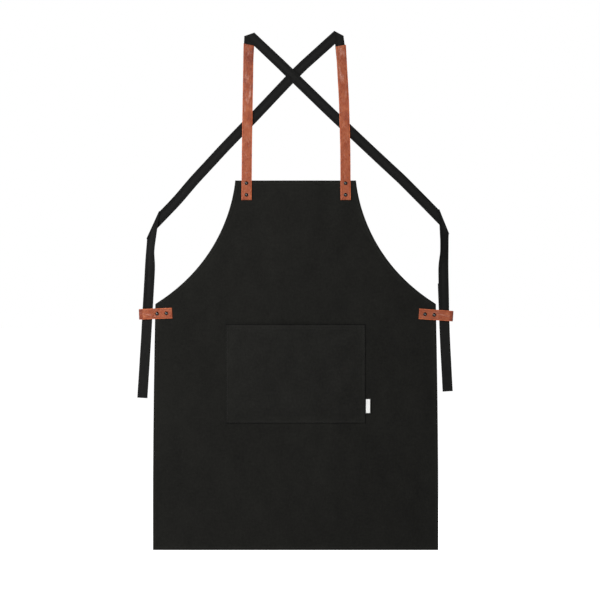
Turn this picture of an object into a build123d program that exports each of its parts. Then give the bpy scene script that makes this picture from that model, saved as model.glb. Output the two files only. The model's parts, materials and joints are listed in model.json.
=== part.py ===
from build123d import *
import math
import os

# Canvas bib apron with cross-back straps, upright, as it hangs. Millimetres.
# X is the wearer's width, Z is up from the hem, and the front faces -Y.
# The origin is the middle of the hem, on the back face of the canvas.

# ---- driving dimensions ----
BODY_HEIGHT = 900.0
HEM_HALF = 348.0
CORNER_HALF = 342.3
CORNER_Z = 600.5
SIDE_BOW = 1.8
BIB_HALF = 147.5
ARMHOLE_PULLS = ((154.8, 830.4), (193.1, 692.7))
CLOTH = 1.2
WEB_WIDTH = 25.0
WEB_THICK = 1.4
LEATHER_THICK = 2.2
LOOP_LEATHER = 1.8

# ---- fold lines ----
HEM_FOLD_Z = 280.0
BIB_FOLD_Z = 683.0
HARNESS_FOLD_Z = 902.0
CANVAS_GAP = 0.8
BIB_GAP = 1.4
WEB_GAP = 1.2
LEATHER_GAP = 3.2

# ---- layers through the thickness ----
CLOTH_FRONT = -CLOTH
LEATHER_FRONT = CLOTH_FRONT - LEATHER_THICK
STUB_Y = CLOTH_FRONT + WEB_THICK / 2
DIAGONAL_Y = STUB_Y + WEB_THICK
LEFT_START_Y = STUB_Y - WEB_THICK
LOWER_WEB_Y = -1.5
TIE_Y = 0.2

# ---- pocket and label ----
POCKET_HALF = 170.5
POCKET_LOW = 309.0
POCKET_TOP = 551.0
POCKET_PUFF = 6.0
SEAM_FLANGE = 6.5
POCKET_SLOPE_SIDE = 25.0
POCKET_SLOPE_LOW = 30.0
LABEL_GAP = 1.3
LABEL_STANDOFF = 0.15
LABEL_WIDTH = 10.0
LABEL_LOW = 334.0
LABEL_HIGH = 368.0
LABEL_THICK = 0.9

# ---- rivets ----
CAP_RADIUS = 4.5
CAP_RIM = 0.6
CAP_HEIGHT = 2.4
POST_RADIUS = 1.5
HOLE_CLEARANCE = 0.05
SOCKET_CLEARANCE = 0.02
SOCKET_DEPTH = 1.4
STRAP_RIVET_HEIGHTS = (895.0, 866.5)
STRAP_RIVET_X = {"left": -120.0, "right": 121.8}

# ---- side loops ----
LOOP_Z = {"left": 576.5, "right": 573.5}
LOOP_HEIGHT = 26.0
LOOP_TIP = {"left": 382.0, "right": 384.0}
LOOP_INNER = 301.5
LOOP_TILT = {"left": 2.3, "right": 4.0}
LOOP_RIVET_X = (315.5, 338.0)
LEG_END_X = 343.5
EYE_START_X = 348.5
EYE_FRONT = -2.4
EYE_BACK = 1.2

# ---- ties: the webbing below the flip, which slides through its loop ----
TIE_TOP_Z = 652.0
TIE_HINGE_Z = 508.0
LOWER_END_Z = 570.0
WEB_AT_LOOP_X = {"left": 361.5, "right": 362.2}
TIE_SLANT = {"left": 3.2, "right": 2.2}
TAIL_SLANT = {"left": 3.6, "right": 3.0}
TAIL_END_Z = {"left": 368.0, "right": 386.0}

# ---- stitching ----
THREAD_WIDTH = 0.6
THREAD_HEIGHT = 0.25
HEM_STITCH_INSET = 8.5
POCKET_STITCH_INSET = 3.0
STRAP_STITCH_BOX = (16.0, 23.0)
STRAP_STITCH_DROP = 22.0
STITCH_MARGIN = 1.0
LOOP_STITCH_ROOM = 18.0
ARMHOLE_STEPS = 10

# ---- limits for cuts: further than any part, through every layer, and a little past a face ----
WIDE = 1000.0
THROUGH = 8.0
PAST = 1.0

SIDES = {"left": -1, "right": 1}
DEPTH = Vector(0, 1, 0)

# Leather strap centreline, as (x, z) from its lower end to its top.
STRAP_LINE = {
    "left": ((-119.8, 853.5), (-118.8, 976.0), (-116.9, 1098.0), (-114.6, 1233.2)),
    "right": ((122.0, 853.5), (121.3, 976.0), (118.0, 1098.0), (110.4, 1230.6)),
}
# How much higher the left corner of a strap's top edge is than its middle.
STRAP_TOP_RISE = {"left": 2.7, "right": -2.2}

# The crease where each webbing folds over at the top: its middle, and half its length as a vector.
CREASE = {
    "left": ((-112.5, 1257.0), (-12.9, -4.5)),
    "right": ((105.2, 1259.6), (12.0, -6.4)),
}
SEWN_LENGTH = 34.0
# Webbing from the crease down across the back to the bib-top line, as (x, z).
ACROSS_LINE = {
    "left": ((-71.2, 1219.2), (-9.4, 1158.8), (88.2, 1064.6), (183.6, 974.2), (260.6, 902.6)),
    "right": ((58.0, 1220.6), (-5.8, 1157.3), (-90.0, 1068.5), (-179.6, 975.4), (-246.8, 902.6)),
}
# Webbing from the bib-top line down beside the body, as (x, z). The third point is the middle of
# the flat fold where it turns over. The side here is the side of the body where it comes down.
BESIDE_LINE = {
    "left": ((-247.9, 901.4), (-291.2, 850.4), (-347.0, 793.0), (-353.6, 719.0), (-355.6, 683.7)),
    "right": ((261.7, 901.4), (303.5, 859.8), (361.2, 800.6), (360.8, 724.0), (360.2, 683.7)),
}


# ---- helpers ----
def section(centre, half, thick_dir, thickness):
    """A rectangle across a strap, from its centre, half-width vector and thickness direction."""
    up = thick_dir.normalized() * (thickness / 2)
    corners = [centre + half + up, centre + half - up, centre - half - up, centre - half + up]
    return make_face(Polyline(*corners, close=True))


def half_widths(centres, width, first=None, last=None):
    """Half-width vectors across a strap at each of its centres. first or last, when given, are
    those of a slanting end."""
    halves = []
    for i in range(len(centres)):
        run = direction(centres[max(i - 1, 0)], centres[min(i + 1, len(centres) - 1)])
        halves.append(Vector(-run.Z, 0, run.X) * (width / 2))
    if first is not None:
        halves[0] = first
    if last is not None:
        halves[-1] = last
    return halves


def strap(points, width, thickness, first=None, last=None):
    """A strap along points that faces the front. first and last are as in half_widths."""
    centres = [Vector(*p) for p in points]
    halves = half_widths(centres, width, first, last)
    return loft([section(c, h, DEPTH, thickness) for c, h in zip(centres, halves)], ruled=True)


def flat_webbing(line, y, first=None, last=None):
    """Webbing at one depth, along (x, z) points, with ends as in half_widths."""
    centres = [Vector(x, 0, z) for x, z in line]
    halves = half_widths(centres, WEB_WIDTH, first, last)
    edge = [c + h for c, h in zip(centres, halves)] + [c - h for c, h in zip(centres, halves)][::-1]
    outline = make_face(Polyline(*[(p.X, p.Z) for p in edge], close=True))
    return on_front(outline, y + WEB_THICK / 2, WEB_THICK)


def direction(start, end):
    """The front-view direction from one point to another."""
    run = end - start
    return Vector(run.X, 0, run.Z).normalized()


def level_cut(start, end):
    """Half-width vector of a level cut through webbing that runs from start to end."""
    return Vector(WEB_WIDTH / 2 / abs(direction(start, end).Z), 0, 0)


def flat(points, y):
    """(x, z) points placed at one depth."""
    return [(x, y, z) for x, z in points]


def slab(x_low, x_high, y_low, y_high, z_low, z_high):
    """A box given by its limits."""
    centre = ((x_low + x_high) / 2, (y_low + y_high) / 2, (z_low + z_high) / 2)
    return Pos(*centre) * Box(x_high - x_low, y_high - y_low, z_high - z_low)


def band_between(z_low, z_high):
    """Everything between two heights."""
    return slab(-WIDE, WIDE, -WIDE, WIDE, z_low, z_high)


def y_cylinder(x, z, y_low, y_high, radius):
    """A cylinder along Y."""
    middle = Pos(x, (y_low + y_high) / 2, z)
    return middle * Rot(90, 0, 0) * Cylinder(radius, y_high - y_low)


def save(node, shape):
    """Write one node's solids."""
    solids = shape.solids()
    whole = solids[0] if len(solids) == 1 else Compound(children=list(solids))
    whole.label = node
    export_step(whole, f"parts/{node}.step")


# ---- canvas ----
def armhole():
    """The right armhole's edge, from the bib's corner to the side corner."""
    return Bezier((BIB_HALF, BODY_HEIGHT), *ARMHOLE_PULLS, (CORNER_HALF, CORNER_Z))


def body_outline():
    """Front outline of the one sheet of canvas, on the XZ plane."""
    right = [armhole(), side_edge()]
    left = [mirror(edge, about=Plane.YZ) for edge in right]
    low = Line((HEM_HALF, 0), (-HEM_HALF, 0))
    over = Line((-BIB_HALF, BODY_HEIGHT), (BIB_HALF, BODY_HEIGHT))
    return make_face(Wire([edge for part in [*right, *left, low, over] for edge in part.edges()]))


def side_edge():
    """The right side's edge, a little bowed, from the corner down to the hem."""
    middle = ((CORNER_HALF + HEM_HALF) / 2 + SIDE_BOW, CORNER_Z / 2)
    return ThreePointArc((CORNER_HALF, CORNER_Z), middle, (HEM_HALF, 0))


def on_front(sketch, y_back, thickness):
    """Raise a front-view sketch from y_back towards the front."""
    return extrude(Plane.XZ.offset(-y_back) * sketch, thickness, dir=(0, -1, 0))


def rivet_places():
    """Each rivet as (group, x, z, face of the cap's seat, face of the back cap's seat)."""
    places = []
    for side in SIDES:
        for z in STRAP_RIVET_HEIGHTS:
            places.append(("strap", STRAP_RIVET_X[side], z, LEATHER_FRONT, 0.0))
    front_leg = CLOTH_FRONT - LOOP_LEATHER
    for side in SIDES:
        for x in LOOP_RIVET_X:
            places.append(("loop", *on_loop(side, x), front_leg, LOOP_LEATHER))
    return places


def on_loop(side, x):
    """Where a point of a side loop's middle line lands once the loop is tilted, as (x, z)."""
    tilt = math.radians(LOOP_TILT[side])
    out = x - CORNER_HALF
    return SIDES[side] * (CORNER_HALF + out * math.cos(tilt)), LOOP_Z[side] - out * math.sin(tilt)


def rivet_holes():
    """Every rivet's hole, through all layers."""
    radius = POST_RADIUS + HOLE_CLEARANCE
    return [y_cylinder(x, z, -THROUGH, THROUGH, radius) for _, x, z, _, _ in rivet_places()]


def canvas_nodes():
    """The sheet, cut where it folds and drilled for the rivets."""
    sheet = on_front(body_outline(), 0, CLOTH)
    for hole in rivet_holes():
        sheet -= hole
    return {
        "bib_panel": sheet & band_between(BIB_FOLD_Z + BIB_GAP / 2, WIDE),
        "skirt_panel": sheet & band_between(HEM_FOLD_Z + CANVAS_GAP / 2, BIB_FOLD_Z - BIB_GAP / 2),
        "hem_panel": sheet & band_between(-PAST, HEM_FOLD_Z - CANVAS_GAP / 2),
    }


# ---- pocket ----
def framed(half_width, low, high, y):
    """A rectangle in a front-facing plane at depth y, between two heights."""
    return Plane.XZ.offset(-y) * Pos(0, (low + high) / 2) * Rectangle(2 * half_width, high - low)


def puffed(inset, base_y, top_y, open_by):
    """The pocket's swell, from a large base to a smaller front, open at the top."""
    side = POCKET_HALF - SEAM_FLANGE - inset
    low = POCKET_LOW + SEAM_FLANGE + inset
    high = POCKET_TOP + open_by
    base = framed(side, low, high, base_y)
    front = framed(side - POCKET_SLOPE_SIDE, low + POCKET_SLOPE_LOW, high, top_y)
    return loft([base, front], ruled=True)


def pocket_panel():
    """A patch of canvas, sewn flat at its sides and bottom, that stands off to make room inside."""
    outer = puffed(0, CLOTH_FRONT - CLOTH, CLOTH_FRONT - CLOTH - POCKET_PUFF, 0)
    flange = framed(POCKET_HALF, POCKET_LOW, POCKET_TOP, CLOTH_FRONT)
    patch = extrude(flange, CLOTH) + outer
    return patch - puffed(CLOTH, CLOTH_FRONT, CLOTH_FRONT - POCKET_PUFF, PAST)


def pocket_label():
    """The folded tape that stands out of the pocket's right seam."""
    x_low = POCKET_HALF + LABEL_GAP
    y_back = CLOTH_FRONT - LABEL_STANDOFF
    return slab(x_low, x_low + LABEL_WIDTH, y_back - LABEL_THICK, y_back, LABEL_LOW, LABEL_HIGH)


# ---- leather straps ----
def leather_strap(side):
    """A whole shoulder strap, from its riveted end to its sewn top."""
    line = flat(STRAP_LINE[side], LEATHER_FRONT + LEATHER_THICK / 2)
    rise = STRAP_TOP_RISE[side]
    end = Vector(-WEB_WIDTH / 2, 0, rise)
    whole = strap(line, WEB_WIDTH, LEATHER_THICK, last=end)
    for hole in rivet_holes():
        whole -= hole
    return whole


def strap_nodes(side):
    """The strap cut in two where it bends over the bib's top edge."""
    whole = leather_strap(side)
    return {
        f"{side}_strap_base": whole & band_between(0, HARNESS_FOLD_Z - LEATHER_GAP / 2),
        f"{side}_strap_upper": whole & band_between(HARNESS_FOLD_Z + LEATHER_GAP / 2, 2 * WIDE),
    }


# ---- webbing ----
def webbing_upper(side):
    """The end sewn behind the leather, folded over at its top into the run across the back."""
    (mid_x, mid_z), (half_x, half_z) = CREASE[side]
    crease = Vector(half_x, 0, half_z)
    foot_x, foot_z = STRAP_LINE[side][-1]
    foot = (foot_x, STUB_Y, foot_z - SEWN_LENGTH)
    leftward = crease * math.copysign(1, -half_x)
    stub = strap([foot, (mid_x, STUB_Y, mid_z)], WEB_WIDTH, WEB_THICK, last=leftward)
    start_y = LEFT_START_Y if side == "left" else DIAGONAL_Y
    line = ACROSS_LINE[side]
    span = line[-1][0] - mid_x
    run = [(mid_x, start_y, mid_z)]
    for x, z in line:
        share = (x - mid_x) / span
        run.append((x, start_y + (DIAGONAL_Y - start_y) * share, z))
    level = level_cut(Vector(*run[-2]), Vector(*run[-1]))
    across = strap(run, WEB_WIDTH, WEB_THICK, first=-leftward, last=level)
    return stub + across


def webbing_middle(side):
    """From the bib-top line, over its flat fold beside the bib, down to the bib fold line."""
    line = BESIDE_LINE[side]
    centres = [Vector(x, 0, z) for x, z in line]
    arriving = direction(centres[1], centres[2])
    leaving = direction(centres[2], centres[3])
    along = (arriving + leaving).normalized()
    half = WEB_WIDTH / 2 / math.sin(math.radians(arriving.get_angle(along)))
    crease = along * half
    level = level_cut(centres[0], centres[1])
    over = flat_webbing(line[:3], DIAGONAL_Y, first=level, last=facing(crease, arriving))
    under = flat_webbing(line[2:], LOWER_WEB_Y, first=facing(crease, leaving))
    inward = (along * arriving.dot(along) - arriving).normalized() * (WEB_THICK / 2)
    middle = centres[2] + inward + DEPTH * ((DIAGONAL_Y + LOWER_WEB_Y) / 2)
    end = along * (half - PAST)
    wall = strap([middle - end, middle + end], WEB_THICK, DIAGONAL_Y - LOWER_WEB_Y + WEB_THICK)
    return over + under + wall


def facing(crease, run):
    """A fold's crease as the half-width vector of webbing that runs along run."""
    return crease * math.copysign(1, crease.dot(Vector(-run.Z, 0, run.X)))


def slanted(side, z, slant):
    """The x of webbing that passes through the loop at a slant, at height z."""
    drop = LOOP_Z[side] - z
    return SIDES[side] * (WEB_AT_LOOP_X[side] + drop * math.tan(math.radians(slant)))


def webbing_run(side, z_high, z_low, y, x_high, x_low):
    """A straight stretch of webbing facing the front, with level ends."""
    level = Vector(WEB_WIDTH / 2, 0, 0)
    points = [(x_high, y, z_high), (x_low, y, z_low)]
    return strap(points, WEB_WIDTH, WEB_THICK, first=level, last=level)


def webbing_nodes(side):
    """One webbing strap as its five rigid lengths."""
    slant = TIE_SLANT[side]
    lower_top = BIB_FOLD_Z - BIB_GAP / 2
    top_x = BESIDE_LINE[side][-1][0]
    hinge_x = slanted(side, TIE_HINGE_Z, slant)
    end_z = TAIL_END_Z[side]
    end_x = hinge_x + SIDES[side] * (TIE_HINGE_Z - end_z) * math.tan(math.radians(TAIL_SLANT[side]))
    tie_top_x = slanted(side, TIE_TOP_Z, slant)
    gap = WEB_GAP / 2
    loop_x = slanted(side, LOWER_END_Z, slant)
    return {
        f"{side}_webbing_middle": webbing_middle(side),
        f"{side}_webbing_lower": webbing_run(side, lower_top, LOWER_END_Z, LOWER_WEB_Y, top_x, loop_x),
        f"{side}_tie": webbing_run(side, TIE_TOP_Z, TIE_HINGE_Z + gap, TIE_Y, tie_top_x, hinge_x),
        f"{side}_tie_tail": webbing_run(side, TIE_HINGE_Z - gap, end_z, TIE_Y, hinge_x, end_x),
    }


# ---- side loops ----
def side_loop(side):
    """A leather strip folded round the webbing, with one leg on each face of the canvas."""
    leather = LOOP_LEATHER
    front = CLOTH_FRONT
    middle_y = (EYE_FRONT + EYE_BACK) / 2
    bend = (EYE_BACK - EYE_FRONT) / 2
    outer_bend = bend + leather
    bend_x = LOOP_TIP[side] - outer_bend

    def leg_wall(inner_front, inner_back, radius):
        """One skin of the strip, from the front leg's end round to the back leg's end."""
        tip = (bend_x + radius, middle_y)
        return [
            Polyline((LOOP_INNER, inner_front), (LEG_END_X, inner_front),
                     (EYE_START_X, middle_y - radius), (bend_x, middle_y - radius)),
            ThreePointArc((bend_x, middle_y - radius), tip, (bend_x, middle_y + radius)),
            Polyline((bend_x, middle_y + radius), (EYE_START_X, middle_y + radius),
                     (LEG_END_X, inner_back), (LOOP_INNER, inner_back)),
        ]

    outer = leg_wall(front - leather, leather, outer_bend)
    inner = leg_wall(front, 0, bend)
    ends = [
        Line((LOOP_INNER, leather), (LOOP_INNER, 0)),
        Line((LOOP_INNER, front - leather), (LOOP_INNER, front)),
    ]
    edges = [edge for part in [*outer, *inner, *ends] for edge in part.edges()]
    profile = make_face(Wire(edges))
    strip = extrude(profile, LOOP_HEIGHT)
    strip = Pos(-CORNER_HALF, 0, -LOOP_HEIGHT / 2) * strip
    strip = Pos(CORNER_HALF, 0, LOOP_Z[side]) * Rot(0, LOOP_TILT[side], 0) * strip
    if side == "left":
        strip = mirror(strip, about=Plane.YZ)
    for hole in rivet_holes():
        strip -= hole
    return strip


# ---- rivets ----
def dome():
    """A cap's domed button, flat side at z 0."""
    profile = make_face(
        Wire([
            *Polyline((0, CAP_HEIGHT), (0, 0), (CAP_RADIUS, 0), (CAP_RADIUS, CAP_RIM)).edges(),
            *RadiusArc((CAP_RADIUS, CAP_RIM), (0, CAP_HEIGHT), -crown_radius()).edges(),
        ])
    )
    return revolve(Plane.XZ * profile, Axis.Z)


def crown_radius():
    """Radius of the dome over its rim."""
    rise = CAP_HEIGHT - CAP_RIM
    return (CAP_RADIUS**2 + rise**2) / (2 * rise)


def rivet_nodes():
    """Caps with posts, and back caps, one group for the straps and one for the loops."""
    nodes = {}
    for group, x, z, seat, back in rivet_places():
        cap = Pos(x, seat, z) * Rot(90, 0, 0) * dome()
        cap += y_cylinder(x, z, seat - CAP_RIM, back + SOCKET_DEPTH, POST_RADIUS)
        socket_end = back + SOCKET_DEPTH + HOLE_CLEARANCE
        socket = y_cylinder(x, z, back - PAST, socket_end, POST_RADIUS + SOCKET_CLEARANCE)
        back_cap = Pos(x, back, z) * Rot(-90, 0, 0) * dome() - socket
        nodes.setdefault(f"{group}_rivet_caps", []).append(cap.solid())
        nodes.setdefault(f"{group}_rivet_backs", []).append(back_cap.solid())
    return {name: Compound(children=solids) for name, solids in nodes.items()}


# ---- stitching ----
def stitch_strip(start, end):
    """A straight line of thread on the canvas, between two front-view points."""
    along = Vector(end[0] - start[0], end[1] - start[1])
    middle = Pos((start[0] + end[0]) / 2, (start[1] + end[1]) / 2)
    turn = math.degrees(math.atan2(along.Y, along.X))
    return middle * Rot(0, 0, turn) * Rectangle(along.length, THREAD_WIDTH)


def armhole_strip():
    """The line of thread that follows the right armhole, inside its hem."""
    near = inside_armhole(HEM_STITCH_INSET)
    far = inside_armhole(HEM_STITCH_INSET + THREAD_WIDTH)
    sides = [Spline(*near), Line(near[-1], far[-1]), Spline(*far[::-1]), Line(far[0], near[0])]
    return make_face(Wire([edge for side in sides for edge in side.edges()]))


def inside_armhole(inset):
    """Points inside the right armhole's edge, all the same distance from it."""
    edge = armhole()
    points = []
    for i in range(ARMHOLE_STEPS + 1):
        tangent = edge % (i / ARMHOLE_STEPS)
        inward = Vector(tangent.Y, -tangent.X)
        points.append(edge @ (i / ARMHOLE_STEPS) + inward * inset)
    return points


def hem_thread_nodes():
    """Hem stitching on the front, left out under the leather, in one length per panel."""
    inset = HEM_STITCH_INSET + THREAD_WIDTH / 2
    top = BODY_HEIGHT - inset
    half_top = BIB_HALF - inset
    over = stitch_strip((-half_top, top), (half_top, top))
    under = stitch_strip((-HEM_HALF, inset), (HEM_HALF, inset))
    curve = armhole_strip()
    side = stitch_strip((HEM_HALF - inset, 0), (CORNER_HALF - inset, CORNER_Z))
    thread = on_front(over, CLOTH_FRONT, THREAD_HEIGHT)
    for strip in (under, curve, mirror(curve, about=Plane.YZ), side, mirror(side, about=Plane.YZ)):
        thread += on_front(strip, CLOTH_FRONT, THREAD_HEIGHT)
    for name, hand in SIDES.items():
        x, low = STRAP_LINE[name][0]
        room = WEB_WIDTH / 2 + STITCH_MARGIN
        thread -= slab(x - room, x + room, -THROUGH, THROUGH, low - STITCH_MARGIN, BODY_HEIGHT)
        inner, outer = sorted((hand * (LOOP_INNER - STITCH_MARGIN), hand * WIDE))
        low, high = LOOP_Z[name] - LOOP_STITCH_ROOM, LOOP_Z[name] + LOOP_STITCH_ROOM
        thread -= slab(inner, outer, -THROUGH, THROUGH, low, high)
    return {
        "bib_thread": thread & band_between(BIB_FOLD_Z + BIB_GAP / 2, WIDE),
        "skirt_thread": thread & band_between(HEM_FOLD_Z + CANVAS_GAP / 2, BIB_FOLD_Z - BIB_GAP / 2),
        "hem_thread": thread & band_between(-PAST, HEM_FOLD_Z - CANVAS_GAP / 2),
    }


def thread_frame(width, height):
    """A rectangular line of thread, by its outer size."""
    return Rectangle(width, height) - Rectangle(width - 2 * THREAD_WIDTH, height - 2 * THREAD_WIDTH)


def pocket_thread():
    """The seam that holds the pocket's sides and bottom."""
    width = 2 * (POCKET_HALF - POCKET_STITCH_INSET)
    low = POCKET_LOW + POCKET_STITCH_INSET
    height = POCKET_TOP + POCKET_STITCH_INSET - low
    seam = Pos(0, low + height / 2) * thread_frame(width, height)
    raised = on_front(seam, CLOTH_FRONT - CLOTH, THREAD_HEIGHT)
    return raised & band_between(0, POCKET_TOP - PAST)


def strap_thread(side):
    """The box of stitches where the webbing is sewn behind the leather's top."""
    top_x, top_z = STRAP_LINE[side][-1]
    low_x, low_z = STRAP_LINE[side][-2]
    lean = math.degrees(math.atan2(top_x - low_x, top_z - low_z))
    middle = top_x - STRAP_STITCH_DROP * math.tan(math.radians(lean))
    box = Pos(middle, top_z - STRAP_STITCH_DROP) * Rot(0, 0, -lean) * thread_frame(*STRAP_STITCH_BOX)
    return on_front(box, LEATHER_FRONT, THREAD_HEIGHT)


# ---- build ----
def side_nodes(side):
    """Everything that comes once on each side."""
    return {
        **strap_nodes(side),
        **webbing_nodes(side),
        f"{side}_webbing_upper": webbing_upper(side),
        f"{side}_side_loop": side_loop(side),
        f"{side}_strap_thread": strap_thread(side),
    }


nodes = {**canvas_nodes(), **hem_thread_nodes(), **rivet_nodes()}
nodes["pocket_panel"] = pocket_panel()
nodes["pocket_label"] = pocket_label()
nodes["pocket_thread"] = pocket_thread()
for side_name in SIDES:
    nodes.update(side_nodes(side_name))
os.makedirs("parts", exist_ok=True)
for node_name, node_shape in nodes.items():
    save(node_name, node_shape)
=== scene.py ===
import functools
import json
import math

import bpy
import numpy as np
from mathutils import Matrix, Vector, noise


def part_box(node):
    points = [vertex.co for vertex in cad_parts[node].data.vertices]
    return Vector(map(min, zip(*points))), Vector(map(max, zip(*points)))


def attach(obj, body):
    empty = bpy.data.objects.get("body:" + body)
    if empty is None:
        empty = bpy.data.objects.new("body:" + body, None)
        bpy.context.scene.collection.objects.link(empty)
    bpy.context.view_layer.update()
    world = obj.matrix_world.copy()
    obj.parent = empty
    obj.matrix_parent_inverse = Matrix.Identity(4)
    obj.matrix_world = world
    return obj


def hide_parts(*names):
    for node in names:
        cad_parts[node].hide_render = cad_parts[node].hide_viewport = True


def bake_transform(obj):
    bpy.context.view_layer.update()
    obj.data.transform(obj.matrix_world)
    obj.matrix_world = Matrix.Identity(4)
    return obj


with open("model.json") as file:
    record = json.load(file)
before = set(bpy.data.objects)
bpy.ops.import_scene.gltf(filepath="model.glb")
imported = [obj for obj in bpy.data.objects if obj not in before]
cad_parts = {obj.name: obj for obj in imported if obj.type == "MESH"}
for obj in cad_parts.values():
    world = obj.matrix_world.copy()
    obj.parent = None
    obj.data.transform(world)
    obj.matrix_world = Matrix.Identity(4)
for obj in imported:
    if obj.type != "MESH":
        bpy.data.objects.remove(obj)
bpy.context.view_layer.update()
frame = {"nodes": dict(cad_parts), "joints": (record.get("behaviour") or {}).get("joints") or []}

# Canvas bib apron with cross-back straps. Metres, X width, Z up from the hem, the front faces -Y.
# Places come from the CAD nodes: straps and edges are read from level cuts through them.

MM = 0.001

# ---- sizes of the looks, on top of the frame's own ----
CLOTH_FRONT_Y = -1.15 * MM
CLOTH_BACK_Y = -0.15 * MM
HEM_WIDTH = 9.4 * MM
HEM_STITCH = 7.2 * MM
HEM_FRONT_RISE = 0.35 * MM
HEM_BACK_RISE = 1.1 * MM
CLOTH_THINNEST = 0.12
DRAPE_LIMIT = 2.6 * MM
POCKET_CLOTH = 1.1 * MM
POCKET_HEM = 13.0 * MM
POCKET_HEM_STITCH = POCKET_HEM - 1.6 * MM
POCKET_STITCH = 3.2 * MM
POCKET_PUFF = 5.2 * MM
WEB_THICK = 1.3 * MM
WEB_GAP = 1.4 * MM
LEATHER_THICK = 2.2 * MM
LOOP_LEATHER = 1.8 * MM
STITCH_PITCH = 3.1 * MM
STITCH_LENGTH = 2.5 * MM
STITCH_RADIUS = 0.27 * MM
# How far the webbing is turned about its length: across the back, and beside the body.
TURN_ACROSS = math.radians(32)
TURN_BESIDE = math.radians(33)
# Below a leather strap's top: the end of the webbing sewn behind it, and from where level cuts meet
# only the length that crosses the back.
SEWN_TIP = 38 * MM
SEWN_CLEAR = 50 * MM
# The side webbing begins above the bib's fold, and eases out of its turn above the tie.
SIDE_START = 44 * MM
TIE_CLEAR = 20 * MM
TURN_EASE = 60 * MM
# Above a tie's tip: the end of its turned-up part, and the seam across it.
TURNED_END = 14 * MM
TURNED_SEAM = 10 * MM
# A side loop's legs lie on the canvas up to its edge, then part round the webbing.
LEG_END = 1.6 * MM
EYE_START = 7.5 * MM
LOOP_HEIGHT_ON_SKIRT = 0.30
# Half the height over which cloth, straps and ties bend at their folds.
FOLD_REACH = 22 * MM
STRAP_BEND_REACH = 16 * MM
TAIL_BEND_REACH = 14 * MM
# Distances from an edge where the sheets have rows of points: round edge, stitch line, hem fold.
EDGE_STEPS = np.array([0, 0.15, 0.45, 1.0, 2.2, 3.8, 5.4, 6.3, 6.8, 7.2, 7.6, 8.1, 8.8, 9.6,
                       10.6, 12.5]) * MM
POCKET_STEPS = np.array([0, 0.15, 0.45, 1.0, 2.0, 2.7, 3.2, 3.7, 4.6, 5.6, 6.6, 8.0]) * MM
MOUTH_STEPS = np.array([0, 0.15, 0.45, 1.0, 3, 6, 9, 11, 11.8, 12.4, 13.0, 13.6, 14.4, 16]) * MM
# Place along each stitch, as a share of its length, and thickness there.
STITCH_RINGS = ((-0.5, 0.25), (-0.36, 0.85), (0.0, 1.0), (0.36, 0.85), (0.5, 0.25))
STITCH_SIDES = 6
CLOTH_SETTINGS = {"quality": 6, "mass": 0.25, "tension_stiffness": 25, "compression_stiffness": 25,
                  "shear_stiffness": 12, "bending_stiffness": 2.5, "tension_damping": 15,
                  "vertex_group_mass": "pins"}
# Each side takes its small unevenness from its own part of the noise.
SEEDS = {"left": 1.7, "right": 5.3}
DEPTH = np.array([0.0, 1.0, 0.0])

# ---- sizes of the studio ----
CAMERA_DISTANCE = 6.0
CAMERA_X, CAMERA_Z = 0.0107, 0.610
VIEW_WIDTH = 1.464
SENSOR_WIDTH = 36
WORLD_LIGHT = 0.26
FLOOR_Z = -0.16
FLOOR_HALF = 60.0
LAMP_TARGET = (0, 0, 0.62)

# ---- the frame's own places ----
JOINTS = {j["name"]: j.get("pos_m") for j in frame["joints"]}
BIB_FOLD_Z = JOINTS["bib_fold"][2]
HARNESS_FOLD_Z = JOINTS["harness_fold"][2]
HEM_FOLD_Z = JOINTS["hem_fold"][2]
POCKET_LO, POCKET_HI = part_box("pocket_panel")
POCKET_HALF = (POCKET_HI.x - POCKET_LO.x) / 2
BIB_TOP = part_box("bib_panel")[1].z + 1.6 * MM
# The canvas's upper and lower pieces meet at this height, behind the pocket.
SPLIT_Z = 0.432
LEATHER_ON_CANVAS = ("left_strap_base", "right_strap_base", "left_side_loop", "right_side_loop")
# Each fold: its two bodies, its height, and its reach, negative where the second body is below.
CANVAS_FOLDS = {"upper": (("skirt", "bib"), BIB_FOLD_Z, FOLD_REACH),
                "lower": (("skirt", "hem"), HEM_FOLD_Z, -FOLD_REACH)}
STRAP_FOLD = (("bib", "harness"), HARNESS_FOLD_Z, STRAP_BEND_REACH)


# ---- reading the frame ----
def node_points(name):
    """A CAD node's vertices."""
    return np.array([v.co for v in frame["nodes"][name].data.vertices])


class Cuts:
    """Level cuts through CAD nodes."""

    def __init__(self, *nodes):
        starts, ends = [], []
        for name in nodes:
            co = node_points(name)
            pairs = np.array([e.vertices[:] for e in frame["nodes"][name].data.edges])
            starts.append(co[pairs[:, 0]])
            ends.append(co[pairs[:, 1]])
        self.start = np.vstack(starts)
        self.end = np.vstack(ends)

    def at(self, z):
        """The points where edges cross height z, as (x, y)."""
        low, high = self.start[:, 2] - z, self.end[:, 2] - z
        hit = low * high < 0
        share = low[hit] / (low[hit] - high[hit])
        return (self.start[hit] + (self.end[hit] - self.start[hit]) * share[:, None])[:, :2]

    def width(self, z):
        """Width of the cut at height z."""
        return np.ptp(self.at(z)[:, 0])

    def middle(self, z):
        """The middle (x, y) of the cut, or None where there is nothing."""
        points = self.at(z)
        if len(points) < 4:
            return None
        long_way = np.linalg.eigh(np.cov((points - points.mean(0)).T))[1][:, 1]
        short_way = np.array([-long_way[1], long_way[0]])
        u, v = points @ long_way, points @ short_way
        return long_way * (u.min() + u.max()) / 2 + short_way * (v.min() + v.max()) / 2


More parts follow.
